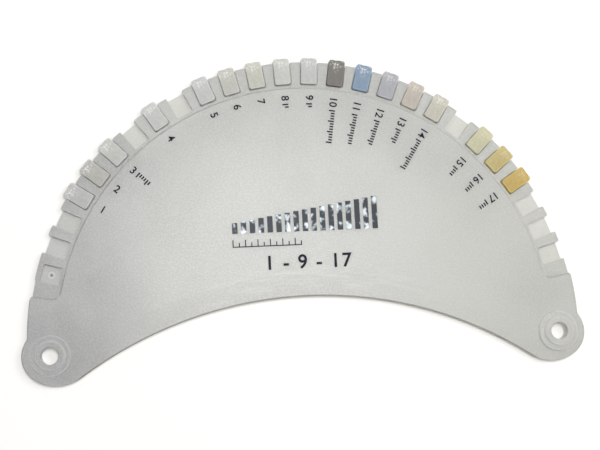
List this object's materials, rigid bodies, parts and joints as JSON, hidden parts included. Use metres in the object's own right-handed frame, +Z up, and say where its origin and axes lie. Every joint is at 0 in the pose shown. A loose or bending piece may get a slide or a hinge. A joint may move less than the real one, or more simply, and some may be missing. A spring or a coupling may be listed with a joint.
{
  "type": "dental shade guide",
  "caption": "Crescent holder plate, frosted and translucent, with sockets round its convex edge that seat small tinted ceramic shade chips, and an eye in each ear.",
  "frame": {"origin": "on the back face, under the middle of the whole object's box", "axes": "+X from the left ear to the right ear, +Y towards the convex edge with the sockets, +Z up out of the face"},
  "size_m": [0.1766, 0.1002, 0.0046],
  "materials": {
    "frosted_plastic": "frosted, fine matt grain, translucent",
    "ceramic_clear": "glazed, translucent",
    "ceramic_warm_clear": "glazed, translucent",
    "ceramic_milky": "glazed, translucent",
    "ceramic_ivory": "glazed, translucent",
    "ceramic_dark_ivory": "glazed, translucent",
    "ceramic_warm_grey": "glazed, translucent",
    "ceramic_blue": "glazed, translucent",
    "ceramic_pale_blue": "glazed, translucent",
    "ceramic_pale_pink": "glazed, translucent",
    "ceramic_cream": "glazed, translucent",
    "ceramic_pale_yellow": "glazed, translucent",
    "ceramic_sand_yellow": "glazed, translucent",
    "ceramic_ochre": "glazed, translucent"
  },
  "bodies": {
    "root": {"holder_plate": "frosted_plastic", "chip_04": "ceramic_clear", "chip_05": "ceramic_warm_clear", "chip_06": "ceramic_milky", "chip_08": "ceramic_clear", "chip_10": "ceramic_clear", "chip_11": "ceramic_ivory", "chip_12": "ceramic_dark_ivory", "chip_13": "ceramic_clear", "chip_14": "ceramic_clear", "chip_15": "ceramic_warm_grey", "chip_16": "ceramic_blue", "chip_17": "ceramic_pale_blue", "chip_18": "ceramic_pale_pink", "chip_19": "ceramic_cream", "chip_21": "ceramic_pale_yellow", "chip_22": "ceramic_sand_yellow", "chip_23": "ceramic_ochre"}
  },
  "joints": []
}
